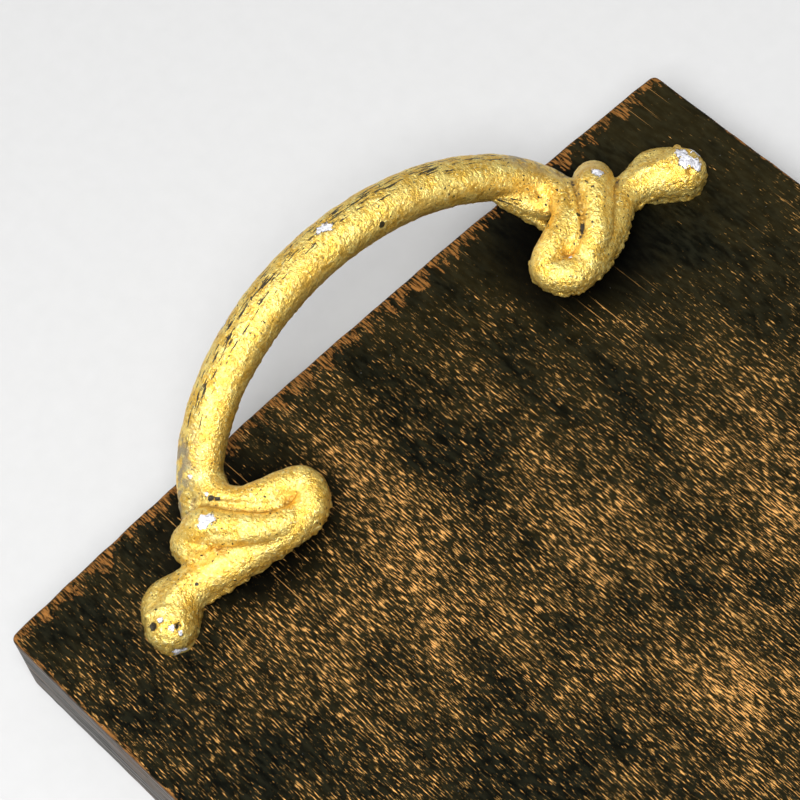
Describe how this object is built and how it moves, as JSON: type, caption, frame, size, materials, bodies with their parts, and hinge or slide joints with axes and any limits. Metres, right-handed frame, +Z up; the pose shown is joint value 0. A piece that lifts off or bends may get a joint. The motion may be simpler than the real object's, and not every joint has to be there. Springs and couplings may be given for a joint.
{
  "type": "serving tray",
  "caption": "Flat dark wooden serving board with a gold-painted cast scroll handle screwed on at each end.",
  "frame": {"origin": "centre of the board's underside, on the surface that the tray stands on", "axes": "+X along the board from the left handle to the right handle, +Y across the board to its rear side, +Z up"},
  "size_m": [0.4638, 0.18, 0.0519],
  "materials": {
    "stained_wood": "satin",
    "gold_paint": "satin",
    "screw_steel": "satin",
    "washer_steel": "satin"
  },
  "bodies": {
    "root": {"board": "stained_wood", "left_handle": "gold_paint", "right_handle": "gold_paint", "left_front_screw": "screw_steel", "left_rear_screw": "screw_steel", "right_front_screw": "screw_steel", "right_rear_screw": "screw_steel", "left_front_washer": "washer_steel", "left_rear_washer": "washer_steel", "right_front_washer": "washer_steel", "right_rear_washer": "washer_steel"}
  },
  "joints": []
}
